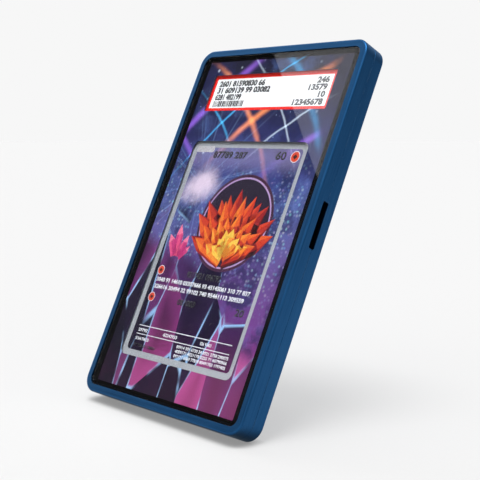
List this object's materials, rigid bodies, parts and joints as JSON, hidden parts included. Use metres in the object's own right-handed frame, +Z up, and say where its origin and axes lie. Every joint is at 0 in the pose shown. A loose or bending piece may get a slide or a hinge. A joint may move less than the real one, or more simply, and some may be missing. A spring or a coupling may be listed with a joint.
{
  "type": "trading card display case",
  "caption": "Display case for a graded trading card: two magnetic shells round the slab, a clear window with a printed surround, and a folding leg that holds it leaned back.",
  "frame": {"origin": "on the floor, under the middle of the part's box", "axes": "+X to the right as seen from the front, +Y to the back, +Z up; the case leans back 25.5 degrees from upright"},
  "size_m": [0.0892, 0.0706, 0.1339],
  "materials": {
    "blue_metal": "satin blue anodised, faint lines along each side",
    "foam": "matte foam",
    "steel": "bright",
    "magnet": "plated",
    "clear_plastic": "clear",
    "window": "clear, polished",
    "black_print": "black print behind the window",
    "print": "printed sheet, violet and blue design",
    "card": "printed card with a grey border",
    "label": "white paper with a red border",
    "rubber": "matte"
  },
  "bodies": {
    "base": {"rear_shell": "blue_metal", "back_pad": "foam", "hinge_pin": "steel", "rear_magnet_1": "magnet", "rear_magnet_2": "magnet", "rear_magnet_3": "magnet", "rear_magnet_4": "magnet", "rear_magnet_5": "magnet", "rear_magnet_6": "magnet", "rear_magnet_7": "magnet", "rear_magnet_8": "magnet"},
    "slab": {"slab_rear": "clear_plastic", "slab_front": "clear_plastic", "trading_card": "card", "grade_label": "label"},
    "cover": {"front_shell": "blue_metal", "window": "window", "black_border": "black_print", "printed_surround": "print", "front_magnet_1": "magnet", "front_magnet_2": "magnet", "front_magnet_3": "magnet", "front_magnet_4": "magnet", "front_magnet_5": "magnet", "front_magnet_6": "magnet", "front_magnet_7": "magnet", "front_magnet_8": "magnet"},
    "leg": {"folding_leg": "blue_metal", "rubber_foot": "rubber"}
  },
  "joints": [
    {"name": "cover_lift", "type": "slide", "parent": "base", "child": "cover", "axis": [0, -0.9026, 0.4305], "range_m": [0, 0.045]},
    {"name": "slab_lift", "type": "slide", "parent": "base", "child": "slab", "axis": [0, -0.9026, 0.4305], "range_m": [0, 0.0225]},
    {"name": "leg_fold", "type": "hinge", "parent": "base", "child": "leg", "pos_m": [0, 0.00145, 0.05509], "axis": [1, 0, 0], "range_deg": [-34.69, 0]}
  ],
  "couplings": [
    {"joint": "slab_lift", "follows": "cover_lift", "ratio": 0.5}
  ]
}
